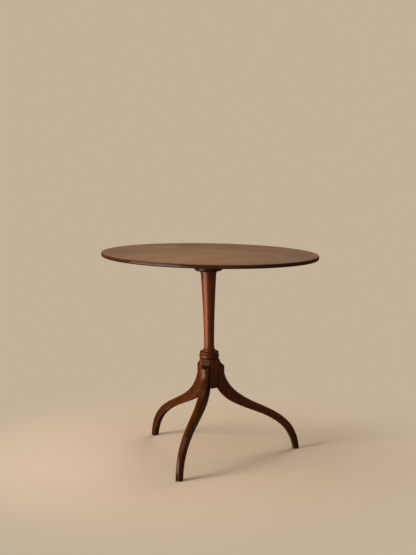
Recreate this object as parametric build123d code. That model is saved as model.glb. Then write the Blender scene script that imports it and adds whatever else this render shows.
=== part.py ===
from build123d import *
import os

# Oval tilt-top table on a tripod pillar. Millimetres, Z up, origin on the floor under the pillar's axis.
# X runs along the top's long axis and the tilt axis. The front leg points to -Y.

# Table top
table_height = 705.0
top_length = 762.0
top_width = 508.0
top_thickness = 14.0
top_upper_round = 2.5
top_lower_round = 6.0

# Tilt block, which carries the top on two pintles cut from its own ends
block_length = 149.0
block_width = 125.0
block_thickness = 25.0
block_chamfer = 3.0
block_gap = 0.3
pintle_radius = 8.0
pintle_length = 20.0
pintle_clearance = 0.06

# Battens across the grain of the top, one at each end of the block
batten_gap = 0.5
batten_width = 22.0
batten_length = 380.0
batten_flat = 140.0
batten_depth = 26.0
batten_end_depth = 7.0
batten_round = 1.5

# Turned cap between the pillar and the block
cap_radius = 48.5
cap_thickness = 20.0
cap_ovolo = 7.0
cap_lip = 5.0
cap_lip_drop = 1.0

# Pillar: drum, collar mouldings, shaft and neck are one turning, with a tenon on top
drum_foot = 240.0
drum_height = 100.0
drum_radius = 33.0
drum_arris = 1.0
quirk_depth = 2.6
quirk_height = 2.0
torus_swell = 3.9
torus_height = 16.0
shoulder_step = 3.0
shoulder_round = 7.0
ring_flare = 4.6
ring_height = 2.0
shaft_foot_radius = 17.2
shaft_foot_cove = 19.0
shaft_head_radius = 26.4
shaft_hollow = 1.5
neck_flare = 2.6
neck_height = 4.0
neck_cove = 7.0
tenon_radius = 19.0
tenon_short = 0.5
glue_gap = 0.05
wedge_depth = 24.0
wedge_head = 4.0
wedge_tip = 1.2

# Legs: S-curved, slid up into dovetail sockets in the drum
front_leg_angle = 270.0
right_leg_angle = 30.0
left_leg_angle = 150.0
leg_thickness = 28.0
foot_thickness = 22.0
foot_radius = 309.0
foot_depth = 21.5
leg_bed = 4.5
leg_crown = 4.0
leg_cavetto = 20.0
leg_cavetto_drop = 27.5
cavetto_lean = 0.26
leg_square = 24.0
leg_hang = 8.0
leg_upper_round = 10.0
leg_lower_round = 3.0

# Control points of the leg's two curves. The knee's are out from the seat and up from the drum's foot,
# the shin's and ankle's are in from the foot's middle and up from the floor.
leg_pull = 3.0
top_knee = (49.5, -92.0)
top_shin = (90.0, 173.0)
top_ankle = (-2.5, 127.0)
under_knee = (48.0, -99.5)
under_shin = (79.5, 158.5)
under_ankle = (22.0, 78.0)

# Dovetails
tail_neck = 11.0
tail_width = 15.0
tail_depth = 10.5
tail_stop = 20.0

# Iron plate under the drum, which keeps the dovetails from sliding out
plate_thickness = 2.5
plate_hub = 15.0
plate_arm_width = 14.0
plate_gap = 1.0
plate_screw_inset = 7.5

# Spring catch under the top, behind the block
catch_gap = 3.5
catch_wall = 1.5
catch_play = 0.2
bolt_width = 16.0
bolt_length = 32.0
bolt_height = 12.5
nose_height = 9.0
nose_bevel = 5.0
nose_bite = 5.0
bolt_travel = 7.0
spring_length = 17.0
spring_strip = 0.7
spring_height = 7.0
catch_ear = 11.0
catch_corner = 3.5
knob_stem_radius = 2.0
knob_radius = 6.0
knob_height = 7.5
knob_flare = 2.5
knob_neck = 1.0
knob_screw_depth = 4.0
knob_place = 16.0

# Keeper let into the back of the block
keeper_length = 36.0
keeper_height = 14.0
keeper_thickness = 1.5
keeper_play = 0.4
pocket_room = 2.0

# Screws: head radius, shank radius, length
batten_screw = (4.2, 2.1, 18.0)
batten_screw_seat = 10.0
batten_screw_inset = 40.0
batten_screw_middle = 10.0
catch_screw = (2.8, 1.3, 9.0)
keeper_screw = (2.3, 1.1, 10.0)
plate_screw = (3.4, 1.6, 16.0)
screw_clearance = 0.1
screw_slot_share = 0.2

# How near to a drawn curve an edge has to lie to be picked
near_enough = 0.05

# Heights and places that follow from the sizes above
leg_angles = {"leg_front": front_leg_angle, "leg_right": right_leg_angle, "leg_left": left_leg_angle}
underside = table_height - top_thickness
block_top = underside - block_gap
block_foot = block_top - block_thickness
cap_foot = block_foot - cap_thickness
block_back = block_width / 2
block_half = block_length / 2
pin_y = block_thickness / 2 - block_back
pin_z = block_top - block_thickness / 2
batten_inner = block_half + batten_gap
batten_middle = batten_inner + batten_width / 2
batten_screw_end = batten_length / 2 - batten_screw_inset
drum_top = drum_foot + drum_height
quirk_radius = drum_radius - quirk_depth
torus_radius = quirk_radius + torus_swell
shoulder_radius = quirk_radius + shoulder_step
ring_radius = shaft_foot_radius + ring_flare
neck_radius = shaft_head_radius + neck_flare
leg_seat = drum_radius - leg_bed
tail_height = drum_height - tail_stop
plate_reach = leg_seat - plate_gap
plate_screw_circle = leg_seat - plate_screw_inset
leg_arris_r = leg_seat + leg_crown + leg_cavetto
leg_arris_z = drum_top - leg_cavetto_drop
catch_front = block_back + catch_gap
bolt_front = catch_front + catch_wall + catch_play
bolt_back = bolt_front + bolt_length
bolt_top = underside - catch_wall - catch_play
bolt_foot = bolt_top - bolt_height
nose_top = bolt_foot + nose_height
nose_tip = block_back - nose_bite
case_half = bolt_width / 2 + catch_play + catch_wall
case_foot = bolt_foot - catch_play - catch_wall
case_back = bolt_back + spring_length + catch_wall
knob_y = bolt_front + knob_place
keeper_z = bolt_foot + nose_height / 2


def box(x0, x1, y0, y1, z0, z1):
    corner = Pos((x0 + x1) / 2, (y0 + y1) / 2, (z0 + z1) / 2)
    return corner * Box(x1 - x0, y1 - y0, z1 - z0)


def side_face(*edges):
    # A face drawn in radius and height, stood up in the XZ plane
    return Plane.XZ * make_face(edges)


def turned(*edges):
    return revolve(side_face(*edges), Axis.Z)


def upright(radius, z0, z1):
    return Pos(0, 0, (z0 + z1) / 2) * Cylinder(radius, z1 - z0)


def screw_shape(size, grow=0.0):
    # A countersunk screw with its head at the origin, pointing up
    head, shank, length = size
    head = head + grow
    shank = shank + grow
    outline = Polyline(
        (0, 0),
        (head, 0),
        (shank, head - shank),
        (shank, length - shank),
        (0, length + grow),
        close=True,
    )
    return turned(outline)


def screw(size):
    head = size[0]
    slot = 2 * head * screw_slot_share
    return screw_shape(size) - Box(2 * head + slot, slot, slot)


def screw_hole(size):
    mouth = Pos(0, 0, -screw_clearance / 2) * Cylinder(size[0] + screw_clearance, screw_clearance)
    return screw_shape(size, screw_clearance) + mouth


def placed(shape, places):
    return [place * shape for place in places]


# Screw places
batten_screws = {
    side: [
        Pos(side * batten_middle, y, underside - batten_screw_seat)
        for y in (-batten_screw_end, batten_screw_middle, batten_screw_end)
    ]
    for side in (-1, 1)
}
catch_middle = (catch_front + case_back) / 2
catch_screw_x = case_half + catch_ear / 2
catch_screw_y = (case_back - catch_front) / 2 - catch_ear / 2
catch_places = [
    Pos(x, catch_middle + y, underside - catch_wall)
    for x in (-catch_screw_x, catch_screw_x)
    for y in (-catch_screw_y, catch_screw_y)
]
keeper_screw_x = (keeper_length / 2 + bolt_width / 2 + keeper_play) / 2
keeper_places = [
    Pos(x, block_back, keeper_z) * Rot(90, 0, 0) for x in (-keeper_screw_x, keeper_screw_x)
]
plate_places = [Pos(0, 0, drum_foot - plate_thickness)] + [
    Rot(0, 0, angle) * Pos(plate_screw_circle, 0, drum_foot - plate_thickness)
    for angle in leg_angles.values()
]


def make_top():
    oval = Pos(0, 0, underside) * extrude(Ellipse(top_length / 2, top_width / 2), top_thickness)
    rims = oval.edges().sort_by(Axis.Z)
    oval = fillet(rims[-1], top_upper_round)
    oval = fillet(oval.edges().sort_by(Axis.Z)[0], top_lower_round)
    for side in (-1, 1):
        oval -= placed(screw_hole(batten_screw), batten_screws[side])
    return oval - placed(screw_hole(catch_screw), catch_places)


def make_batten(side):
    half = batten_length / 2
    flat = batten_flat / 2
    outline = Polyline(
        (0, -half, 0),
        (0, half, 0),
        (0, half, -batten_end_depth),
        (0, flat, -batten_depth),
        (0, -flat, -batten_depth),
        (0, -half, -batten_end_depth),
        close=True,
    )
    bar = extrude(make_face(outline), batten_width / 2, both=True)
    bar = Pos(side * batten_middle, 0, underside) * bar
    sides = bar.faces().sort_by(Axis.X)
    rims = sides[0].edges() + sides[-1].edges()
    bar = fillet([e for e in rims if e.center().Z < underside - batten_end_depth], batten_round)
    bore = Pos(side * batten_middle, pin_y, pin_z) * Rot(0, 90, 0)
    bar -= bore * Cylinder(pintle_radius + pintle_clearance, 2 * batten_width)
    for place in batten_screws[side]:
        well = Pos(0, 0, -batten_depth / 2) * Cylinder(batten_screw[0] + screw_clearance, batten_depth)
        bar -= place * well
        bar -= place * screw_hole(batten_screw)
    return bar


def make_block():
    block = box(-block_half, block_half, -block_back, block_back, block_foot, block_top)
    hinge_edge = block.edges().filter_by(Axis.X).sort_by(Axis.Z)[-2:].sort_by(Axis.Y)[0]
    block = fillet(hinge_edge, block_thickness / 2 - block_gap / 2)
    block = chamfer(block.faces().sort_by(Axis.Z)[0].edges(), block_chamfer)
    for side in (-1, 1):
        middle = side * (block_half + pintle_length / 2)
        block += Pos(middle, pin_y, pin_z) * Rot(0, 90, 0) * Cylinder(pintle_radius, pintle_length)
    block -= upright(tenon_radius + glue_gap, block_foot, block_top)
    keeper_half = keeper_length / 2
    keeper_foot = keeper_z - keeper_height / 2
    seat_y = block_back - keeper_thickness
    block -= box(-keeper_half, keeper_half, seat_y, block_back, keeper_foot, keeper_foot + keeper_height)
    block -= nose_room(nose_tip - pocket_room, seat_y)
    return block - placed(screw_hole(keeper_screw), keeper_places)


def nose_room(y0, y1):
    half = bolt_width / 2 + keeper_play
    return box(-half, half, y0, y1, bolt_foot - keeper_play, nose_top + keeper_play)


def make_keeper():
    half = keeper_length / 2
    foot = keeper_z - keeper_height / 2
    front = block_back - keeper_thickness
    plate = box(-half, half, front, block_back, foot, foot + keeper_height)
    plate -= nose_room(front, block_back)
    return plate - placed(screw_hole(keeper_screw), keeper_places)


def make_cap():
    bottom = cap_radius - cap_ovolo - cap_lip
    side = Line((cap_radius, block_foot), (cap_radius, cap_foot + cap_ovolo))
    ovolo = RadiusArc(side @ 1, (cap_radius - cap_ovolo, cap_foot + cap_lip_drop), cap_ovolo)
    under = Line(ovolo @ 1, (bottom, cap_foot))
    bore = tenon_radius + glue_gap
    rest = Polyline(under @ 1, (bore, cap_foot), (bore, block_foot), (cap_radius, block_foot))
    return turned(side, ovolo, under, rest)


def wedge_shape():
    foot = block_top - tenon_short - wedge_depth
    outline = Polyline(
        (-wedge_head / 2, block_top - tenon_short),
        (wedge_head / 2, block_top - tenon_short),
        (wedge_tip / 2, foot),
        (-wedge_tip / 2, foot),
        close=True,
    )
    return extrude(side_face(outline), 2 * tenon_radius, both=True)


def make_wedge():
    return wedge_shape() & upright(tenon_radius, drum_top, block_top)


def make_column():
    drum = Polyline(
        (0, drum_foot),
        (drum_radius - drum_arris, drum_foot),
        (drum_radius, drum_foot + drum_arris),
        (drum_radius, drum_top),
        (quirk_radius, drum_top),
        (quirk_radius, drum_top + quirk_height),
    )
    torus_top = drum_top + quirk_height + torus_height
    belly = (torus_radius, torus_top - torus_height / 2)
    torus = ThreePointArc(drum @ 1, belly, (quirk_radius, torus_top))
    shoulder_z = torus_top + quirk_height
    quirk = Polyline(torus @ 1, (quirk_radius, shoulder_z), (shoulder_radius, shoulder_z))
    collar_top = shoulder_z + shoulder_round
    shoulder = RadiusArc(quirk @ 1, (shoulder_radius - shoulder_round, collar_top), -shoulder_round)
    ring = Polyline(shoulder @ 1, (ring_radius, collar_top), (ring_radius, collar_top + ring_height))
    shaft_foot = collar_top + ring_height + shaft_foot_cove
    cove = TangentArc((shaft_foot_radius, shaft_foot), ring @ 1, tangent=(0, -1))
    shaft_head = cap_foot - neck_height - neck_cove
    shaft = SagittaArc((shaft_foot_radius, shaft_foot), (shaft_head_radius, shaft_head), shaft_hollow)
    flare = Line(shaft @ 1, (neck_radius, cap_foot - neck_height))
    tenon = Polyline(
        flare @ 1,
        (neck_radius, cap_foot),
        (tenon_radius, cap_foot),
        (tenon_radius, block_top - tenon_short),
        (0, block_top - tenon_short),
        (0, drum_foot),
    )
    pillar = turned(drum, torus, quirk, shoulder, ring, cove, shaft, flare, tenon)
    for angle in leg_angles.values():
        seat = box(leg_seat, 2 * drum_radius, -leg_thickness / 2, leg_thickness / 2, drum_foot, drum_top)
        pillar -= Rot(0, 0, angle) * seat
        pillar -= Rot(0, 0, angle) * make_tail()
    pillar -= placed(screw_hole(plate_screw), plate_places[:1])
    return pillar - wedge_shape()


def make_tail():
    root = leg_seat - tail_depth
    outline = Polyline(
        (leg_seat, -tail_neck / 2),
        (root, -tail_width / 2),
        (root, tail_width / 2),
        (leg_seat, tail_neck / 2),
        close=True,
    )
    return Pos(0, 0, drum_foot) * extrude(make_face(outline), tail_height)


def outer(station):
    return (leg_seat + station[0], drum_foot + station[1])


def inner(station):
    return (foot_radius - station[0], station[1])


def make_leg():
    toe = (foot_radius + foot_depth / 2, 0)
    heel = (foot_radius - foot_depth / 2, 0)
    crown = (leg_seat + leg_crown, drum_top)
    arris = (leg_arris_r, leg_arris_z)
    knee = (leg_arris_r, leg_arris_z - leg_square)
    hang = (leg_seat, drum_foot - leg_hang)
    cavetto = TangentArc(crown, arris, tangent=(cavetto_lean, -1))
    front = Line(arris, knee)
    knee_pull = (leg_arris_r, leg_arris_z - leg_square - leg_pull)
    top_line = Bezier(knee, knee_pull, outer(top_knee), inner(top_shin), inner(top_ankle), toe)
    sole = Line(toe, heel)
    under_line = Bezier(heel, inner(under_ankle), inner(under_shin), outer(under_knee), hang)
    back = Polyline(hang, (leg_seat, drum_top), crown)
    slab = extrude(side_face(cavetto, front, top_line, sole, under_line, back), leg_thickness, both=True)
    reach = foot_radius + foot_depth
    plan = make_face(
        Polyline(
            (leg_seat, -leg_thickness / 2),
            (reach, -foot_thickness / 2),
            (reach, foot_thickness / 2),
            (leg_seat, leg_thickness / 2),
            close=True,
        )
    )
    leg = slab & extrude(plan, drum_top)
    leg = fillet(flank_edges(leg, front, top_line), leg_upper_round)
    leg = fillet(flank_edges(leg, under_line), leg_lower_round)
    leg += make_tail()
    screw_foot = Pos(plate_screw_circle, 0, drum_foot - plate_thickness)
    return leg - screw_foot * screw_hole(plate_screw)


def on_line(edge, *lines):
    # True where the edge's middle, seen from the side, lies on one of the outline's curves
    middle = edge.position_at(0.5)
    seen = Vertex(middle.X, middle.Z)
    return any(line.distance_to(seen) < near_enough for line in lines)


def flank_edges(leg, *lines):
    sides = leg.faces().sort_by(Axis.Y)
    return [e for e in sides[0].edges() + sides[-1].edges() if on_line(e, *lines)]


def make_plate():
    sheet = Circle(plate_hub)
    for angle in leg_angles.values():
        arm_length = plate_reach - plate_arm_width / 2
        arm = Pos(arm_length / 2, 0) * Rectangle(arm_length, plate_arm_width)
        arm += Pos(arm_length, 0) * Circle(plate_arm_width / 2)
        sheet += Rot(0, 0, angle) * arm
    plate = Pos(0, 0, drum_foot - plate_thickness) * extrude(sheet, plate_thickness)
    return plate - placed(screw_hole(plate_screw), plate_places)


def make_catch_plate():
    half = case_half + catch_ear
    sheet = box(-half, half, catch_front, case_back, underside - catch_wall, underside)
    sheet = fillet(sheet.edges().filter_by(Axis.Z), catch_corner)
    return sheet - placed(screw_hole(catch_screw), catch_places)


def make_case():
    inside = case_half - catch_wall
    roof = underside - catch_wall
    case = box(-case_half, case_half, catch_front, case_back, case_foot, roof)
    front = catch_front + catch_wall
    floor = case_foot + catch_wall
    case -= box(-inside, inside, front, case_back - catch_wall, floor, roof)
    case -= box(-inside, inside, catch_front, front, floor, nose_top + catch_play)
    slot = SlotCenterToCenter(bolt_travel, 2 * (knob_stem_radius + catch_play))
    slot_middle = Pos(0, knob_y + bolt_travel / 2, case_foot) * Rot(0, 0, 90)
    return case - slot_middle * extrude(slot, catch_wall)


def make_bolt():
    half = bolt_width / 2
    outline = Polyline(
        (0, nose_tip, nose_top),
        (0, nose_tip, bolt_foot + nose_bevel),
        (0, nose_tip + nose_bevel, bolt_foot),
        (0, bolt_back, bolt_foot),
        (0, bolt_back, bolt_top),
        (0, bolt_front, bolt_top),
        (0, bolt_front, nose_top),
        close=True,
    )
    bolt = extrude(make_face(outline), half, both=True)
    stem = upright(knob_stem_radius + glue_gap, bolt_foot, bolt_foot + knob_screw_depth)
    return bolt - Pos(0, knob_y, 0) * stem


def make_knob():
    neck_top = bolt_foot + knob_screw_depth
    head_top = case_foot - catch_play
    head_foot = head_top - knob_height
    waist = knob_radius - knob_flare
    stem = Polyline(
        (0, neck_top),
        (knob_stem_radius, neck_top),
        (knob_stem_radius, head_top),
        (waist, head_top),
        (waist, head_top - knob_neck),
        (knob_radius, head_top - knob_neck - knob_flare),
    )
    dome = TangentArc((0, head_foot), stem @ 1, tangent=(1, 0))
    return Pos(0, knob_y, 0) * turned(stem, dome, Line((0, head_foot), (0, neck_top)))


def make_spring():
    half = bolt_width / 2 - spring_strip
    y0 = bolt_back + spring_strip
    y1 = case_back - catch_wall - spring_strip
    bent = Polyline((-half, y1), (half, (y0 + y1) / 2), (-half, y0))
    strip = trace(bent, spring_strip)
    return Pos(0, 0, (bolt_foot + bolt_top - spring_height) / 2) * extrude(strip, spring_height)


nodes = {
    "column": make_column(),
    "column_cap": make_cap(),
    "tilt_block": make_block(),
    "tenon_wedge": make_wedge(),
    "base_plate": make_plate(),
    "base_plate_screws": Compound(placed(screw(plate_screw), plate_places)),
    "keeper_plate": make_keeper(),
    "keeper_screws": Compound(placed(screw(keeper_screw), keeper_places)),
    "table_top": make_top(),
    "batten_left": make_batten(-1),
    "batten_right": make_batten(1),
    "batten_screws_left": Compound(placed(screw(batten_screw), batten_screws[-1])),
    "batten_screws_right": Compound(placed(screw(batten_screw), batten_screws[1])),
    "catch_plate": make_catch_plate(),
    "catch_case": make_case(),
    "catch_screws": Compound(placed(screw(catch_screw), catch_places)),
    "catch_spring": make_spring(),
    "catch_bolt": make_bolt(),
    "catch_knob": make_knob(),
}
leg = make_leg()
for name, angle in leg_angles.items():
    nodes[name] = Rot(0, 0, angle) * leg

os.makedirs("parts", exist_ok=True)
for name, shape in nodes.items():
    export_step(shape, f"parts/{name}.step")
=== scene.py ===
import math

import bmesh
import bpy
from mathutils import Euler, Matrix, Vector


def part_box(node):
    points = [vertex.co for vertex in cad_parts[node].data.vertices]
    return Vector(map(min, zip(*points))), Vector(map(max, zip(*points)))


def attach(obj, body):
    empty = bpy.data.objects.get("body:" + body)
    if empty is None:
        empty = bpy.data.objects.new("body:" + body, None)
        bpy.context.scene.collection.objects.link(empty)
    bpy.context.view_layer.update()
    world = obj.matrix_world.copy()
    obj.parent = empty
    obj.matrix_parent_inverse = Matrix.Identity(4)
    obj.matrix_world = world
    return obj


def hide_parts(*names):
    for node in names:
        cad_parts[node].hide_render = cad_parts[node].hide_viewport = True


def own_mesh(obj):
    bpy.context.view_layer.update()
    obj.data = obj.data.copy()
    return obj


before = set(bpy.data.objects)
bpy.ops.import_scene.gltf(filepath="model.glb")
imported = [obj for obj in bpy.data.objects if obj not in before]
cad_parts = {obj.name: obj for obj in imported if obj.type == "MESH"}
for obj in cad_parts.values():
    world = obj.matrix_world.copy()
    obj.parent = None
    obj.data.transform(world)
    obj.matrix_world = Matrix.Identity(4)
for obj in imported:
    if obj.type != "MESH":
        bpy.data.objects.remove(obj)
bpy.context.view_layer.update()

mmPerMetre = 1000


def linear(red, green, blue):
    # a screen colour, 0 to 255, as the shader wants it, by the sRGB curve
    shares = [value / 255 for value in (red, green, blue)]
    levels = [s / 12.92 if s <= 0.04045 else ((s + 0.055) / 1.055) ** 2.4 for s in shares]
    return (*levels, 1.0)


def around(azimuth, distance, height):
    # azimuth 0 is in front of the table, towards -Y, and grows to the right
    turn = math.radians(azimuth)
    return Vector((math.sin(turn) * distance, -math.cos(turn) * distance, height))


# camera
cameraLook = {
    "azimuth": 19.14,
    "distance": 4.088,
    "height": 1.286,
    "pitch": 9.23,
    "roll": -0.45,
    "offAxis": 0.028,  # turned a little past the pillar, as in the photo
    "focalPixels": 1215.9,
    "imageHeight": 555,
    "sensor": 36.0,
    "clipEnd": 100,
}


def addCamera(look):
    data = bpy.data.cameras.new("camera")
    data.sensor_width = look["sensor"]
    data.lens = look["focalPixels"] / look["imageHeight"] * look["sensor"]
    data.clip_end = look["clipEnd"]
    camera = bpy.data.objects.new("camera", data)
    camera.location = around(look["azimuth"], look["distance"], look["height"])
    pitch = math.radians(90 - look["pitch"])
    heading = math.radians(look["azimuth"] + look["offAxis"])
    roll = Matrix.Rotation(math.radians(look["roll"]), 3, "Z")
    camera.rotation_euler = (Euler((pitch, 0, heading)).to_matrix() @ roll).to_euler()
    bpy.context.scene.collection.objects.link(camera)
    bpy.context.scene.camera = camera


addCamera(cameraLook)


# floor, lights and background
stageLook = {
    "floor": (180, 168, 154),
    "floorBounce": (140, 98, 64),  # what the floor throws back on the object
    "background": (196, 177, 154),
    "floorRadius": 40.0,
    "floorSegments": 96,
    "fadeStart": 0.4,  # metres from the pillar where the floor begins to melt into the background
    "fadeEnd": 1.05,
    "ambient": 0.17,
}
lampBase = {
    "aim": 0.4,  # height of the point over the table's middle that the lamp faces
    "lights": True,  # falls on the object
    "mirrored": False,  # shows in the polish
}
lampLooks = {
    "window": {
        **lampBase,
        "azimuth": -46,
        "distance": 3.2,
        "height": 1.2,
        "wide": 1.2,
        "tall": 2.3,
        "watts": 210,
        "tint": (255, 238, 218),
    },
    "lowSheen": {
        **lampBase,
        "azimuth": -40,
        "distance": 1.1,
        "height": 0.32,
        "aim": 1.27,
        "wide": 1.0,
        "tall": 0.78,
        "watts": 30,
        "tint": (255, 238, 222),
        "lights": False,
        "mirrored": True,
    },
    "paleWall": {
        **lampBase,
        "azimuth": -84,
        "distance": 3.4,
        "height": 1.6,
        "wide": 2.6,
        "tall": 2.6,
        "watts": 24,
        "tint": (255, 240, 224),
    },
    "warmRoom": {
        **lampBase,
        "azimuth": 42,
        "distance": 5.0,
        "height": 1.0,
        "wide": 3.0,
        "tall": 1.8,
        "watts": 28,
        "tint": (255, 206, 156),
    },
    "behind": {
        **lampBase,
        "azimuth": 165,
        "distance": 2.6,
        "height": 2.4,
        "wide": 2.2,
        "tall": 1.8,
        "watts": 68,
        "tint": (255, 240, 224),
    },
    "ceiling": {
        **lampBase,
        "azimuth": 0,
        "distance": 0.5,
        "height": 3.3,
        "wide": 3.2,
        "tall": 3.2,
        "watts": 44,
        "tint": (255, 248, 240),
        "mirrored": True,
    },
}


def shownRay(nodes, links):
    # 1 for what the camera, a gloss or a glass shows, 0 for light that falls on things
    path = nodes.new("ShaderNodeLightPath")
    shown = path.outputs["Is Camera Ray"]
    for name in ("Is Glossy Ray", "Is Transmission Ray"):
        either = nodes.new("ShaderNodeMath")
        either.operation = "MAXIMUM"
        links.new(shown, either.inputs[0])
        links.new(path.outputs[name], either.inputs[1])
        shown = either.outputs[0]
    return shown


def floorFinish(look):
    # matt, and melting into the background away from the pillar for the rays that show it
    material = bpy.data.materials.new("paleFloor")
    material.use_nodes = True
    nodes, links = material.node_tree.nodes, material.node_tree.links
    nodes.clear()
    out = nodes.new("ShaderNodeOutputMaterial")
    shown = shownRay(nodes, links)
    tone = nodes.new("ShaderNodeMix")
    tone.data_type = "RGBA"
    tone.inputs["A"].default_value = linear(*look["floorBounce"])
    tone.inputs["B"].default_value = linear(*look["floor"])
    links.new(shown, tone.inputs["Factor"])
    matt = nodes.new("ShaderNodeBsdfDiffuse")
    links.new(tone.outputs["Result"], matt.inputs["Color"])
    glow = nodes.new("ShaderNodeEmission")
    glow.inputs["Color"].default_value = linear(*look["background"])
    coords = nodes.new("ShaderNodeTexCoord")
    length = nodes.new("ShaderNodeVectorMath")
    length.operation = "LENGTH"
    blendShare = nodes.new("ShaderNodeMapRange")
    blendShare.interpolation_type = "SMOOTHSTEP"
    blendShare.inputs["From Min"].default_value = look["fadeStart"]
    blendShare.inputs["From Max"].default_value = look["fadeEnd"]
    seen = nodes.new("ShaderNodeMath")
    seen.operation = "MULTIPLY"
    mix = nodes.new("ShaderNodeMixShader")
    links.new(coords.outputs["Object"], length.inputs[0])
    links.new(length.outputs["Value"], blendShare.inputs["Value"])
    links.new(blendShare.outputs["Result"], seen.inputs[0])
    links.new(shown, seen.inputs[1])
    links.new(seen.outputs[0], mix.inputs["Fac"])
    links.new(matt.outputs[0], mix.inputs[1])
    links.new(glow.outputs[0], mix.inputs[2])
    links.new(mix.outputs[0], out.inputs["Surface"])
    return material


def addStage(look):
    bm = bmesh.new()
    bmesh.ops.create_circle(
        bm, cap_ends=True, segments=look["floorSegments"], radius=look["floorRadius"],
    )
    mesh = bpy.data.meshes.new("floor")
    bm.to_mesh(mesh)
    bm.free()
    mesh.materials.append(floorFinish(look))
    floor = bpy.data.objects.new("floor", mesh)
    bpy.context.scene.collection.objects.link(floor)


def addWorld(look):
    world = bpy.data.worlds.new("studio")
    bpy.context.scene.world = world
    world.use_nodes = True
    nodes, links = world.node_tree.nodes, world.node_tree.links
    nodes.clear()
    out = nodes.new("ShaderNodeOutputWorld")
    air = nodes.new("ShaderNodeBackground")
    air.inputs["Color"].default_value = linear(*look["background"])
    level = nodes.new("ShaderNodeMapRange")
    level.inputs["To Min"].default_value = look["ambient"]
    level.inputs["To Max"].default_value = 1.0
    links.new(shownRay(nodes, links), level.inputs["Value"])
    links.new(level.outputs["Result"], air.inputs["Strength"])
    links.new(air.outputs[0], out.inputs["Surface"])


def addLamp(name, look):
    data = bpy.data.lights.new(name, "AREA")
    data.shape = "RECTANGLE"
    data.size = look["wide"]
    data.size_y = look["tall"]
    data.energy = look["watts"]
    data.color = linear(*look["tint"])[:3]
    lamp = bpy.data.objects.new(name, data)
    lamp.location = around(look["azimuth"], look["distance"], look["height"])
    target = Vector((0, 0, look["aim"]))
    lamp.rotation_euler = (target - lamp.location).to_track_quat("-Z", "Y").to_euler()
    lamp.visible_camera = False
    lamp.visible_diffuse = look["lights"]
    lamp.visible_glossy = look["mirrored"]
    bpy.context.scene.collection.objects.link(lamp)


addStage(stageLook)
addWorld(stageLook)
for lampName, lampLook in lampLooks.items():
    addLamp(lampName, lampLook)
bpy.context.scene.view_settings.view_transform = "Standard"
print("camera, floor and light set")


# finishes
def newFinish(name):
    material = bpy.data.materials.new(name)
    material.use_nodes = True
    nodes, links = material.node_tree.nodes, material.node_tree.links
    nodes.clear()
    out = nodes.new("ShaderNodeOutputMaterial")
    shader = nodes.new("ShaderNodeBsdfPrincipled")
    links.new(shader.outputs[0], out.inputs["Surface"])
    return material, nodes, links, shader


def noiseAt(nodes, links, vector, stretch, detail, roughness, warp):
    # stretch is cycles per metre along X, Y and Z
    place = nodes.new("ShaderNodeMapping")
    place.inputs["Scale"].default_value = stretch
    links.new(vector, place.inputs["Vector"])
    noise = nodes.new("ShaderNodeTexNoise")
    noise.inputs["Scale"].default_value = 1.0
    noise.inputs["Detail"].default_value = detail
    noise.inputs["Roughness"].default_value = roughness
    noise.inputs["Distortion"].default_value = warp
    links.new(place.outputs[0], noise.inputs["Vector"])
    return noise.outputs["Fac"]


def ramp(nodes, links, value, positions, colours):
    band = nodes.new("ShaderNodeValToRGB")
    elements = band.color_ramp.elements
    while len(elements) < len(positions):
        elements.new(0.5)  # takes its own place below
    for element, position, colour in zip(elements, positions, colours):
        element.position = position
        element.color = linear(*colour)
    links.new(value, band.inputs["Fac"])
    return band.outputs["Color"]


def spread(nodes, links, value, source, target):
    # maps the source's low and high ends to the target's
    span = nodes.new("ShaderNodeMapRange")
    for ends, (low, high) in (("From", source), ("To", target)):
        span.inputs[ends + " Min"].default_value = low
        span.inputs[ends + " Max"].default_value = high
    links.new(value, span.inputs["Value"])
    return span.outputs["Result"]


def times(nodes, links, first, second):
    product = nodes.new("ShaderNodeMath")
    product.operation = "MULTIPLY"
    links.new(first, product.inputs[0])
    links.new(second, product.inputs[1])
    return product.outputs[0]


def laidOver(nodes, links, amount, under, colour):
    mix = nodes.new("ShaderNodeMix")
    mix.data_type = "RGBA"
    links.new(amount, mix.inputs["Factor"])
    links.new(under, mix.inputs["A"])
    mix.inputs["B"].default_value = linear(*colour)
    return mix.outputs["Result"]


def shaded(nodes, links, colour, shade):
    mix = nodes.new("ShaderNodeMix")
    mix.data_type = "RGBA"
    mix.blend_type = "MULTIPLY"
    mix.inputs["Factor"].default_value = 1.0
    links.new(colour, mix.inputs["A"])
    links.new(shade, mix.inputs["B"])
    return mix.outputs["Result"]


def bumped(nodes, links, height, strength, distance):
    bump = nodes.new("ShaderNodeBump")
    bump.inputs["Strength"].default_value = strength
    bump.inputs["Distance"].default_value = distance
    links.new(height, bump.inputs["Height"])
    return bump


# noises, those that follow the grain drawn out along X
woodPatterns = {
    "streaks": {"stretch": (2.0, 46, 46), "detail": 6, "roughness": 0.6, "warp": 0.35},
    "ribbons": {"stretch": (0.9, 13, 13), "detail": 3, "roughness": 0.5, "warp": 0.6},
    "pores": {"stretch": (95, 1900, 1900), "detail": 2, "roughness": 0.5, "warp": 0.0},
    "blotches": {"stretch": (7, 7, 7), "detail": 3, "roughness": 0.5, "warp": 0.0},
    "rubs": {"stretch": (60, 60, 60), "detail": 4, "roughness": 0.6, "warp": 0.0},
}
woodRanges = {
    "streakStops": (0.28, 0.5, 0.74),
    "mottle": (0.3, 0.7),  # the part of a noise's range that is used
    "pores": (0.56, 0.66),
    "rubs": (0.35, 0.6),
    "rubShares": (0.25, 1.0),
    "poreDepth": 0.0002,
    "rippleHeight": 0.001,
}


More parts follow.
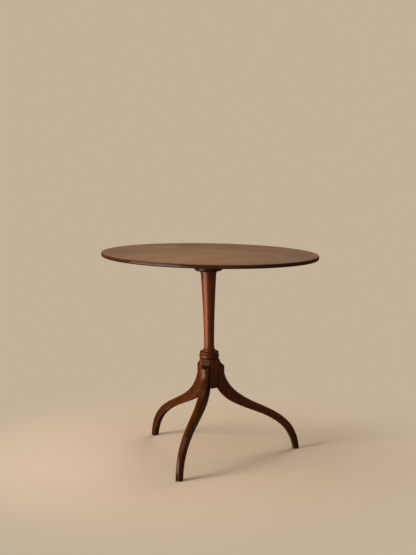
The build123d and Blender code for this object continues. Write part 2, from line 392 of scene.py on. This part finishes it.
def woodFinish(name, look):
    material, nodes, links, shader = newFinish(name)
    coords = nodes.new("ShaderNodeTexCoord")
    place = coords.outputs["Object"]
    turn = nodes.new("ShaderNodeMapping")
    turn.inputs["Rotation"].default_value = look["grain"]
    links.new(place, turn.inputs["Vector"])
    along = turn.outputs[0]

    # growth streaks, ribbon figure and open pores follow the grain, age and rubbing don't
    streaks = noiseAt(nodes, links, along, **woodPatterns["streaks"])
    ribbons = noiseAt(nodes, links, along, **woodPatterns["ribbons"])
    pores = noiseAt(nodes, links, along, **woodPatterns["pores"])
    blotches = noiseAt(nodes, links, place, **woodPatterns["blotches"])
    rubs = noiseAt(nodes, links, place, **woodPatterns["rubs"])

    tones = (look["dark"], look["middle"], look["light"])
    colour = ramp(nodes, links, streaks, woodRanges["streakStops"], tones)
    for pattern, amount in ((ribbons, look["figure"]), (blotches, look["age"])):
        shade = spread(nodes, links, pattern, woodRanges["mottle"], (1 - amount, 1 + amount))
        colour = shaded(nodes, links, colour, shade)
    poreMask = spread(nodes, links, pores, woodRanges["pores"], (0.0, look["pores"]))
    colour = laidOver(nodes, links, poreMask, colour, look["pore"])

    # some heights are made darker or lighter, partly as painted shade, such as the shadow under
    # the pillar's cap
    axes = nodes.new("ShaderNodeSeparateXYZ")
    links.new(place, axes.inputs[0])
    for low, high, lowShade, highShade in look["toneAndPaintedShadeByHeight"]:
        shade = spread(nodes, links, axes.outputs["Z"], (low, high), (lowShade, highShade))
        colour = shaded(nodes, links, colour, shade)
    roughs = (look["rough"] - look["roughVary"], look["rough"] + look["roughVary"])
    rough = spread(nodes, links, blotches, woodRanges["mottle"], roughs)
    if "board" in look:
        colour, rough = boardZones(nodes, links, coords, colour, rough, look["board"])

    # the mesh's edge attribute is 1 on a rubbed edge and -1 in a groove or the marked hollow,
    # which get painted shade
    edge = nodes.new("ShaderNodeAttribute")
    edge.attribute_name = "edge"
    rubbed = spread(nodes, links, edge.outputs["Fac"], (0.0, 1.0), (0.0, look["wear"]))
    rubShare = spread(nodes, links, rubs, woodRanges["rubs"], woodRanges["rubShares"])
    rubbed = times(nodes, links, rubbed, rubShare)
    colour = laidOver(nodes, links, rubbed, colour, look["worn"])
    # painted shade in grooves and on the hollow
    paintedCreaseShade = spread(nodes, links, edge.outputs["Fac"], (-1.0, 0.0), (look["paintedCreaseShadeShare"], 0.0))
    colour = laidOver(nodes, links, paintedCreaseShade, colour, look["paintedCreaseShade"])
    # pale dust and painted sheen laid on the upper hollow of the legs
    if "dustAndPaintedSheen" in look:
        dustAndPaintedSheenShare = nodes.new("ShaderNodeAttribute")
        dustAndPaintedSheenShare.attribute_name = "dustAndPaintedSheen"
        colour = laidOver(nodes, links, dustAndPaintedSheenShare.outputs["Fac"], colour, look["dustAndPaintedSheen"])
    links.new(colour, shader.inputs["Base Color"])
    links.new(rough, shader.inputs["Roughness"])
    shader.inputs["Specular IOR Level"].default_value = look["gloss"]
    shader.inputs["Coat Weight"].default_value = look["varnish"]
    shader.inputs["Coat IOR"].default_value = look["varnishIor"]
    shader.inputs["Coat Roughness"].default_value = look["varnishRough"]

    # open pores, and gentle ripples left by tools and polishing
    pits = bumped(nodes, links, poreMask, look["bump"], woodRanges["poreDepth"])
    pits.invert = True
    waves = bumped(nodes, links, rubs, look["ripple"], woodRanges["rippleHeight"])
    links.new(pits.outputs[0], waves.inputs["Normal"])
    links.new(waves.outputs[0], shader.inputs["Normal"])
    links.new(waves.outputs[0], shader.inputs["Coat Normal"])
    return material


def boardZones(nodes, links, coords, colour, rough, board):
    # a table board is faded on top, lighter towards the front as painted sheen, and dull and bare
    # below
    oval = nodes.new("ShaderNodeMapping")
    oval.inputs["Location"].default_value = board["fadedPaintedSheenPlace"]
    oval.inputs["Scale"].default_value = (1 / board["halfLength"], 1 / board["halfWidth"], 0)
    links.new(coords.outputs["Object"], oval.inputs["Vector"])
    out = nodes.new("ShaderNodeVectorMath")
    out.operation = "LENGTH"
    links.new(oval.outputs[0], out.inputs[0])
    reach = (0.0, board["fadedPaintedSheenReach"])
    blendShare = spread(nodes, links, out.outputs["Value"], reach, (board["fadingPaintedSheen"], 0.0))
    colour = laidOver(nodes, links, blendShare, colour, board["fadedPaintedSheen"])
    facing = nodes.new("ShaderNodeSeparateXYZ")
    links.new(coords.outputs["Normal"], facing.inputs[0])
    bareShares = (board["bareShare"], 0.0)
    below = spread(nodes, links, facing.outputs["Z"], board["bareFacing"], bareShares)
    colour = laidOver(nodes, links, below, colour, board["bare"])
    dull = nodes.new("ShaderNodeMath")
    dull.operation = "MULTIPLY_ADD"
    links.new(below, dull.inputs[0])
    dull.inputs[1].default_value = board["bareRough"]
    links.new(rough, dull.inputs[2])
    return colour, dull.outputs[0]


metalPatterns = {
    "tarnish": {"stretch": (90, 90, 90), "detail": 5, "roughness": 0.6, "warp": 0.0},
    "scratches": {"stretch": (900, 120, 900), "detail": 2, "roughness": 0.5, "warp": 0.0},
}
metalRanges = {
    "tarnishStops": (0.35, 0.65),
    "mottle": (0.3, 0.7),
    "rougher": 0.12,  # where it is tarnished
    "smoother": 0.08,
    "scratchBump": 0.15,
    "scratchDepth": 0.0001,
}


def metalFinish(name, look):
    material, nodes, links, shader = newFinish(name)
    coords = nodes.new("ShaderNodeTexCoord").outputs["Object"]
    tarnish = noiseAt(nodes, links, coords, **metalPatterns["tarnish"])
    scratches = noiseAt(nodes, links, coords, **metalPatterns["scratches"])
    tones = (look["dull"], look["bright"])
    colour = ramp(nodes, links, tarnish, metalRanges["tarnishStops"], tones)
    links.new(colour, shader.inputs["Base Color"])
    roughs = (look["rough"] + metalRanges["rougher"], look["rough"] - metalRanges["smoother"])
    rough = spread(nodes, links, tarnish, metalRanges["mottle"], roughs)
    links.new(rough, shader.inputs["Roughness"])
    shader.inputs["Metallic"].default_value = look["metallic"]
    strength, depth = metalRanges["scratchBump"], metalRanges["scratchDepth"]
    bump = bumped(nodes, links, scratches, strength, depth)
    links.new(bump.outputs[0], shader.inputs["Normal"])
    return material


def grainTurn(angle, slope):
    # turns the pattern so that its X runs out along a leg at that angle and down by that slope
    outward = Matrix.Rotation(math.radians(-angle), 3, "Z")
    downward = Matrix.Rotation(math.radians(-slope), 3, "Y")
    return (downward @ outward).to_euler()[:]


polish = {
    "gloss": 0.0,
    "rough": 0.4,
    "roughVary": 0.06,
    "varnish": 0.08,  # worn old varnish: a thin share of a hard shine
    "varnishIor": 2.0,
    "varnishRough": 0.22,
    "bump": 0.25,
    "ripple": 0.15,
    "worn": (150, 84, 40),
    "wear": 0.7,
    # painted shade in grooves and creases
    "paintedCreaseShade": (20, 11, 6),
    "paintedCreaseShadeShare": 0.8,
    "toneAndPaintedShadeByHeight": [],  # low and high end in metres, and the shade at each
}


# meshes
meshRules = {
    "bowSteps": 14,
    "mergeWithin": 0.00001,
    "bevelSegments": 2,
    "edgeBend": 0.2,  # radians between faces where wear or grime begins
    "edgeSpan": 0.4,  # and how many more until it is full
    "smoothBelow": 50,  # degrees
}


def bow(start, end, rise, steps):
    # points on the arc from start to end that rises by that much from the chord, to its right
    chord = end - start
    if not rise:
        return [end]
    side = Vector((chord.y, -chord.x)).normalized() * rise
    half = 2 * math.atan(2 * abs(rise) / chord.length)
    radius = chord.length / 2 / math.sin(half)
    points = []
    for step in range(1, steps + 1):
        turn = half * (2 * step / steps - 1)
        lift = (math.cos(turn) - math.cos(half)) * radius / abs(rise)
        points.append(start + chord * (0.5 + radius * math.sin(turn) / chord.length) + side * lift)
    return points


def turnedMesh(profile, steps):
    # a lathe: the profile is radius, height and bow in millimetres, from the foot up
    bm = bmesh.new()
    last = Vector(profile[0][:2])
    points = [last]
    for radius, height, rise in profile[1:]:
        points += bow(last, Vector((radius, height)), rise, meshRules["bowSteps"])
        last = Vector((radius, height))
    verts = [bm.verts.new((p.x / mmPerMetre, 0, p.y / mmPerMetre)) for p in points]
    edges = [bm.edges.new(pair) for pair in zip(verts, verts[1:])]
    bmesh.ops.spin(
        bm, geom=verts + edges, axis=(0, 0, 1), cent=(0, 0, 0),
        angle=math.tau, steps=steps, use_merge=True,
    )
    return bm


def closeMesh(bm):
    bmesh.ops.remove_doubles(bm, verts=bm.verts, dist=meshRules["mergeWithin"])
    bmesh.ops.dissolve_degenerate(bm, edges=bm.edges, dist=meshRules["mergeWithin"])
    bmesh.ops.recalc_face_normals(bm, faces=bm.faces)


def bevelEdges(bm, edges, offset, segments):
    bmesh.ops.bevel(
        bm, geom=edges, offset=offset, segments=segments,
        profile=0.5, affect="EDGES", material=-1,
    )


def softenEdges(bm, look):
    sharp = math.radians(look["sharp"])
    edges = [e for e in bm.edges if len(e.link_faces) == 2 and e.calc_face_angle() > sharp]
    bevelEdges(bm, edges, look["soften"], meshRules["bevelSegments"])


def markEdges(bm):
    # edge is 1 where faces bend sharply outwards and -1 where they bend sharply inwards
    layer = bm.verts.layers.float.get("edge") or bm.verts.layers.float.new("edge")
    bm.normal_update()
    for vert in bm.verts:
        bends = [e.calc_face_angle_signed(0.0) for e in vert.link_edges]
        out, into = max(bends, default=0.0), min(bends, default=0.0)
        bend = out if out > -into else into
        over = abs(bend) - meshRules["edgeBend"]
        if over > 0:
            vert[layer] = math.copysign(min(over / meshRules["edgeSpan"], 1.0), bend)


def addPiece(name, bm, finishes, node, body):
    markEdges(bm)
    mesh = bpy.data.meshes.new(name)
    bm.to_mesh(mesh)
    bm.free()
    mesh.shade_smooth()
    mesh.set_sharp_from_angle(angle=math.radians(meshRules["smoothBelow"]))
    for finish in finishes:
        mesh.materials.append(finish)
    piece = bpy.data.objects.new(name, mesh)
    bpy.context.scene.collection.objects.link(piece)
    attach(piece, body)
    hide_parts(node)
    print(name, len(mesh.polygons), "faces")
    return piece


# the board
boardLow, boardHigh = [Vector(corner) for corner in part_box("table_top")]
topLook = {
    **polish,
    "segments": 320,
    "upperRound": 0.0025,
    "upperSteps": 5,
    "lowerRound": 0.006,
    "lowerSteps": 8,
    "levelWithin": 0.0001,
    "ringWidths": (0.004, 0.016),
    "rimFacing": (-0.95, 0.8),  # the rim is where the normal's Z is between these
    "grain": (0, 0, 0),
    "dark": (66, 37, 14),
    "middle": (81, 48, 19),
    "light": (97, 60, 27),
    "pore": (58, 31, 13),
    "pores": 0.4,
    "figure": 0.09,
    "age": 0.07,
    "gloss": 0.12,
    "rough": 0.33,
    "varnish": 0.0,
    "board": {
        "halfLength": boardHigh.x,
        "halfWidth": boardHigh.y,
        "fadedPaintedSheenPlace": (0.05, 0.45, 0),  # most faded, and the most painted sheen, at minus this, in shares of the half sizes
        "fadedPaintedSheenReach": 0.95,
        "fadingPaintedSheen": 0.68,
        "fadedPaintedSheen": (127, 90, 52),
        "bare": (118, 88, 64),
        "bareFacing": (-0.95, -0.8),
        "bareShare": 0.45,
        "bareRough": 0.35,
    },
}
rimLook = {
    **polish,
    "grain": (0, 0, 0),
    "dark": (36, 19, 8),
    "middle": (51, 28, 12),
    "light": (68, 39, 18),
    "pore": (26, 12, 4),
    "pores": 0.4,
    "figure": 0.09,
    "age": 0.12,
    "wear": 0.4,
    "varnish": 0.075,
    "varnishRough": 0.12,
}


def boardMesh(look):
    bm = bmesh.new()
    bmesh.ops.create_circle(bm, cap_ends=True, segments=look["segments"], radius=1)
    bmesh.ops.scale(bm, vec=(boardHigh.x, boardHigh.y, 1), verts=bm.verts)
    bmesh.ops.translate(bm, vec=(0, 0, boardLow.z), verts=bm.verts)
    made = bmesh.ops.extrude_face_region(bm, geom=list(bm.faces))["geom"]
    raised = [v for v in made if isinstance(v, bmesh.types.BMVert)]
    bmesh.ops.translate(bm, vec=(0, 0, boardHigh.z - boardLow.z), verts=raised)
    bmesh.ops.recalc_face_normals(bm, faces=bm.faces)
    upper = (boardHigh.z, look["upperRound"], look["upperSteps"])
    lower = (boardLow.z, look["lowerRound"], look["lowerSteps"])
    for height, size, steps in (upper, lower):
        level = {v for v in bm.verts if abs(v.co.z - height) < look["levelWithin"]}
        rim = [e for e in bm.edges if all(v in level for v in e.verts)]
        bevelEdges(bm, rim, size, steps)
    for width in look["ringWidths"]:
        flats = [f for f in bm.faces if len(f.verts) == look["segments"]]
        bmesh.ops.inset_region(bm, faces=flats, thickness=width, use_even_offset=True)
    bm.normal_update()
    lowest, highest = look["rimFacing"]
    for face in bm.faces:
        face.material_index = int(lowest < face.normal.z < highest)
    return bm


boardFinishes = [woodFinish("fadedPaintedSheenMahogany", topLook), woodFinish("rimMahogany", rimLook)]
addPiece("tableBoard", boardMesh(topLook), boardFinishes, "table_top", "top")


# the turned pillar, its sizes in millimetres as in the CAD
pillarLook = {
    **polish,
    "profile": [
        (0, 240, 0),
        (32, 240, 0),
        (33, 241, 0),
        (33, 340, 0),
        (30.4, 340, 0),
        (30.4, 341.5, 0),
        (30.4, 359.2, 3.9),
        (30.4, 360.4, 0),
        (33.4, 360.4, 0),
        (26.4, 367, 2.05),
        (21.8, 367, 0),
        (21.8, 369, 0),
        (17.2, 388, -1.17),
        (26.4, 634.7, -1.5),
        (29, 641.7, 0),
        (29, 645.7, 0),
        (19, 645.7, 0),
        (19, 689.9, 0),
        (0, 689.9, 0),
    ],
    "steps": 128,
    "sharp": 28,
    "soften": 0.00035,
    "grain": (0, math.radians(90), 0),
    "dark": (69, 29, 4),
    "middle": (92, 42, 7),
    "light": (114, 57, 14),
    "pore": (46, 19, 6),
    "pores": 0.45,
    "figure": 0.1,
    "age": 0.08,
    # darker below the collar, and a painted shadow under the cap
    "toneAndPaintedShadeByHeight": [(0.355, 0.40, 0.5, 1.0), (0.606, 0.642, 1.0, 0.4)],
    "wear": 0.35,
    "varnish": 0.12,
    "varnishRough": 0.32,
}


def turnedPiece(look):
    bm = turnedMesh(look["profile"], look["steps"])
    closeMesh(bm)
    softenEdges(bm, look)
    return bm


pillarFinish = woodFinish("pillarMahogany", pillarLook)
addPiece("turnedPillar", turnedPiece(pillarLook), [pillarFinish], "column", "pedestal")

# the dark cap under the block
capLook = {
    **polish,
    "profile": [
        (19.05, 665.7, 0),
        (19.05, 645.7, 0),
        (36.5, 645.7, 0),
        (41.5, 646.7, 0),
        (48.5, 652.7, 1.75),
        (48.5, 665.7, 0),
        (19.05, 665.7, 0),
    ],
    "steps": 128,
    "sharp": 28,
    "soften": 0.0006,
    "grain": (0, 0, 0),
    "dark": (36, 24, 16),
    "middle": (46, 32, 23),
    "light": (58, 42, 31),
    "pore": (22, 15, 10),
    "pores": 0.4,
    "figure": 0.06,
    "age": 0.1,
    "varnish": 0.04,
    "worn": (92, 60, 38),
}
capFinish = woodFinish("blackenedWood", capLook)
addPiece("blackCap", turnedPiece(capLook), [capFinish], "column_cap", "pedestal")


# the legs, drawn in radius and height in millimetres, close to the CAD
legLook = {
    **polish,
    "angles": {"leg_front": 270, "leg_right": 30, "leg_left": 150},
    "slope": 46,
    "seat": 28.5,
    "crown": (32.5, 340.0),
    "arris": (52.5, 312.5),
    "hollowRise": 3.22,
    "hollowSteps": 16,
    "hollowPaintedShade": (0.5, 0.92, -0.9),  # painted shade on the hollow: from where to where along it, and how much
    # pale dust and painted sheen on the upper hollow
    "hollowDustAndPaintedSheen": (0.0, 0.45, 0.75),
    "square": (0.04, 0.1, 0.25, 0.6),  # rings between the arris and the knee
    "upperCurve": [(52.5, 288.5), (52.5, 285.5), (76, 144), (221, 184), (311.5, 127), (319.75, 0)],
    "backTop": (28.5, 288.5),
    "lowerCurve": [(28.5, 232), (76.5, 140.5), (229.5, 158.5), (287, 78), (298.25, 0)],
    "curveSteps": 200,
    "thickAtDrum": 28.0,
    "thickAtFoot": 22.0,
    "reach": 330.5,
    "crownAtDrum": 6.0,
    "crownBelow": 10.0,
    "crownShare": 0.2,  # where along the leg the crown has its full round
    "crownPower": 0.92,  # under 1 for a slightly fuller crown
    "crownSteps": 9,
    "innerRound": 3.0,
    "innerSteps": 3,
    "flankSteps": 5,
    "stations": 54,
    "sharp": 38,
    "soften": 0.0007,
    # colour of the dust and painted sheen on the hollow
    "dustAndPaintedSheen": (62, 48, 41),
    "dark": (45, 21, 3),
    "middle": (64, 31, 5),
    "light": (86, 44, 10),
    "pore": (46, 19, 6),
    "pores": 0.45,
    "figure": 0.1,
    "age": 0.08,
    # darker towards the feet
    "toneAndPaintedShadeByHeight": [(0.0, 0.18, 0.45, 1.0)],
    "paintedKneeLightHeights": (0.12, 0.25),
    # painted light and shade from the knee up: the right leg lighter, the front leg darker
    "paintedKneeLights": {"leg_front": 0.85, "leg_right": 1.6, "leg_left": 1.0},
    "wear": 0.45,
    "varnish": 0.1,
    "varnishRough": 0.16,
}


def curvePoints(controls, count):
    # points along a Bezier curve of any degree
    points = []
    for step in range(count + 1):
        row = [Vector(control) for control in controls]
        while len(row) > 1:
            row = [a.lerp(b, step / count) for a, b in zip(row, row[1:])]
        points.append(row[0])
    return points


def evenly(points, count):
    # the same path with its points at equal steps of length
    runs = [(b - a).length for a, b in zip(points, points[1:])]
    spaced, passed, at = [], 0.0, 0
    for step in range(count + 1):
        goal = sum(runs) * step / count
        while at < len(runs) - 1 and passed + runs[at] < goal:
            passed += runs[at]
            at += 1
        spaced.append(points[at].lerp(points[at + 1], (goal - passed) / runs[at]))
    return spaced


def legSection(look, length, share, tip):
    # from the middle of the inner face round by the outer crown and back, cut off at the tip
    half = (look["thickAtDrum"] + (look["thickAtFoot"] - look["thickAtDrum"]) * share) / 2
    grown = min(max(share, 0.0) / look["crownShare"], 1.0)
    crown = look["crownAtDrum"] + (look["crownBelow"] - look["crownAtDrum"]) * grown
    small = look["innerRound"]
    points = [(0.0, 0.0)]
    for step in range(look["innerSteps"] + 1):
        turn = math.radians(90 * step / look["innerSteps"])
        points.append((small - small * math.cos(turn), half - small + small * math.sin(turn)))
    for step in range(1, look["flankSteps"]):
        points.append((small + (length - crown - small) * step / look["flankSteps"], half))
    for step in range(look["crownSteps"] + 1):
        turn = math.radians(90 * step / look["crownSteps"])
        out = length - crown + crown * math.sin(turn)
        points.append((out, half * math.cos(turn) ** look["crownPower"]))
    points = [(min(out, tip), side) for out, side in points]
    return points + [(out, -side) for out, side in points[-2:0:-1]]


def legStations(look):
    # an inner and an outer point, how far out the section goes, its painted shade, and its dust
    # and painted sheen
    seat, crown, arris = look["seat"], Vector(look["crown"]), Vector(look["arris"])
    unmarked = (0.0, 0.0)
    stations = []
    hollow = [crown] + bow(crown, arris, look["hollowRise"], look["hollowSteps"])
    for number, point in enumerate(hollow):
        share = number / look["hollowSteps"]
        marks = []
        for low, high, amount in (look["hollowPaintedShade"], look["hollowDustAndPaintedSheen"]):
            marks.append(amount if low < share < high else 0.0)
        inner, outer = Vector((seat, point.y)), Vector((arris.x, point.y))
        stations.append((inner, outer, point.x - seat, marks))
    knee = look["upperCurve"][0]
    for share in look["square"]:
        height = arris.y + (knee[1] - arris.y) * share
        stations.append((Vector((seat, height)), Vector((arris.x, height)), math.inf, unmarked))
    upper = curvePoints(look["upperCurve"], look["curveSteps"])
    lower = [Vector(look["backTop"])] + curvePoints(look["lowerCurve"], look["curveSteps"])
    paths = [evenly(path, look["stations"]) for path in (lower, upper)]
    return stations + [(inner, outer, math.inf, unmarked) for inner, outer in zip(*paths)]


def legMesh(look, angle):
    bm = bmesh.new()
    order = bm.verts.layers.int.new("order")
    edge = bm.verts.layers.float.new("edge")
    dustAndPaintedSheen = bm.verts.layers.float.new("dustAndPaintedSheen")
    stations = legStations(look)
    count = len(legSection(look, look["thickAtDrum"], 0.0, math.inf))
    ring = bmesh.ops.create_circle(bm, segments=count, radius=1)["verts"]
    for number, vert in enumerate(ring):
        vert[order] = number
    edges = list(bm.edges)
    ends = [edges]
    for number, (inner, outer, tip, marks) in enumerate(stations):
        if number:
            made = bmesh.ops.extrude_edge_only(bm, edges=edges)["geom"]
            ring = [v for v in made if isinstance(v, bmesh.types.BMVert)]
            lines = [e for e in made if isinstance(e, bmesh.types.BMEdge)]
            edges = [e for e in lines if all(v in ring for v in e.verts)]
        length = (outer - inner).length
        share = ((inner.x + outer.x) / 2 - look["seat"]) / (look["reach"] - look["seat"])
        points = legSection(look, length, share, tip)
        for vert in ring:
            out, side = points[vert[order]]
            place = inner.lerp(outer, out / length)
            vert.co = Vector((place.x, side, place.y)) / mmPerMetre
            vert[edge], vert[dustAndPaintedSheen] = marks
    ends.append(edges)
    for rim in ends:
        bmesh.ops.edgeloop_fill(bm, edges=rim)
    turn = Matrix.Rotation(math.radians(angle), 3, "Z")
    bmesh.ops.rotate(bm, cent=(0, 0, 0), matrix=turn, verts=bm.verts)
    closeMesh(bm)
    softenEdges(bm, look)
    return bm


for legName, legAngle in legLook["angles"].items():
    paintedKneeLight = (*legLook["paintedKneeLightHeights"], 1.0, legLook["paintedKneeLights"][legName])
    legFinish = woodFinish(legName + "Mahogany", {
        **legLook,
        "grain": grainTurn(legAngle, legLook["slope"]),
        "toneAndPaintedShadeByHeight": legLook["toneAndPaintedShadeByHeight"] + [paintedKneeLight],
    })
    leg = legMesh(legLook, legAngle)
    addPiece(legName + "_sawn", leg, [legFinish], legName, "pedestal")
print("board, pillar, cap and legs made")


# finishes of the pieces that keep their CAD shape
bearerLook = {
    **polish,
    "grain": (0, 0, math.radians(90)),
    "dark": (78, 50, 33),
    "middle": (98, 66, 45),
    "light": (116, 82, 58),
    "pore": (52, 32, 20),
    "pores": 0.45,
    "figure": 0.08,
    "age": 0.1,
    "rough": 0.6,
}
brassLook = {"dull": (122, 92, 48), "bright": (186, 150, 88), "rough": 0.34, "metallic": 1.0}
ironLook = {"dull": (46, 40, 37), "bright": (74, 68, 64), "rough": 0.55, "metallic": 0.85}
steelLook = {"dull": (70, 66, 62), "bright": (128, 122, 116), "rough": 0.42, "metallic": 1.0}

bearerFinish = woodFinish("bearerMahogany", bearerLook)
brass = metalFinish("agedBrass", brassLook)
steel = metalFinish("dullSteel", steelLook)
cadFinishes = {
    "tilt_block": woodFinish("blockMahogany", {**bearerLook, "grain": (0, 0, 0)}),
    "tenon_wedge": woodFinish("wedgeWood", {**bearerLook, "grain": (0, math.radians(90), 0)}),
    "batten_left": bearerFinish,
    "batten_right": bearerFinish,
    "catch_plate": brass,
    "catch_case": brass,
    "catch_bolt": brass,
    "catch_knob": brass,
    "catch_screws": brass,
    "keeper_plate": brass,
    "keeper_screws": brass,
    "base_plate": metalFinish("blackIron", ironLook),
    "base_plate_screws": steel,
    "batten_screws_left": steel,
    "batten_screws_right": steel,
}
for nodeName, nodeFinish in cadFinishes.items():
    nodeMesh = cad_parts[nodeName].data
    nodeMesh.materials.clear()
    nodeMesh.materials.append(nodeFinish)
print("finishes on", len(cadFinishes), "CAD pieces")


# the catch's leaf spring
springLook = {
    "strip": 0.0007,
    "bendShare": 0.2,  # how much of each leaf the bend takes
    "bendSteps": 12,
    "squeezed": 0.55,  # its length with the bolt drawn back, as a share of its length at rest
}


def springMesh(look):
    # a strip bent to a V on its side, between the bolt's back and the end of the case
    low, high = [Vector(corner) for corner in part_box("catch_spring")]
    half = look["strip"] / 2
    ends = [Vector((low.x + half, high.y - half)), Vector((low.x + half, low.y + half))]
    bend = Vector((high.x - half, (low.y + high.y) / 2))
    corner = [bend.lerp(ends[0], look["bendShare"]), bend, bend.lerp(ends[1], look["bendShare"])]
    path = [ends[0]] + curvePoints(corner, look["bendSteps"]) + [ends[1]]
    bm = bmesh.new()
    rows = []
    for number, point in enumerate(path):
        before, after = path[max(number - 1, 0)], path[min(number + 1, len(path) - 1)]
        along = (after - before).normalized()
        side = Vector((-along.y, along.x)) * half
        rows.append([bm.verts.new((*(point + side * sign), low.z)) for sign in (1, -1)])
    for (a, b), (c, d) in zip(rows, rows[1:]):
        bm.faces.new((a, b, d, c))
    made = bmesh.ops.extrude_face_region(bm, geom=list(bm.faces))["geom"]
    raised = [v for v in made if isinstance(v, bmesh.types.BMVert)]
    bmesh.ops.translate(bm, vec=(0, 0, high.z - low.z), verts=raised)
    closeMesh(bm)
    return bm


leafSpring = addPiece("leafSpring", springMesh(springLook), [steel], "catch_spring", "top")
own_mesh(leafSpring)
print("leaf spring made")
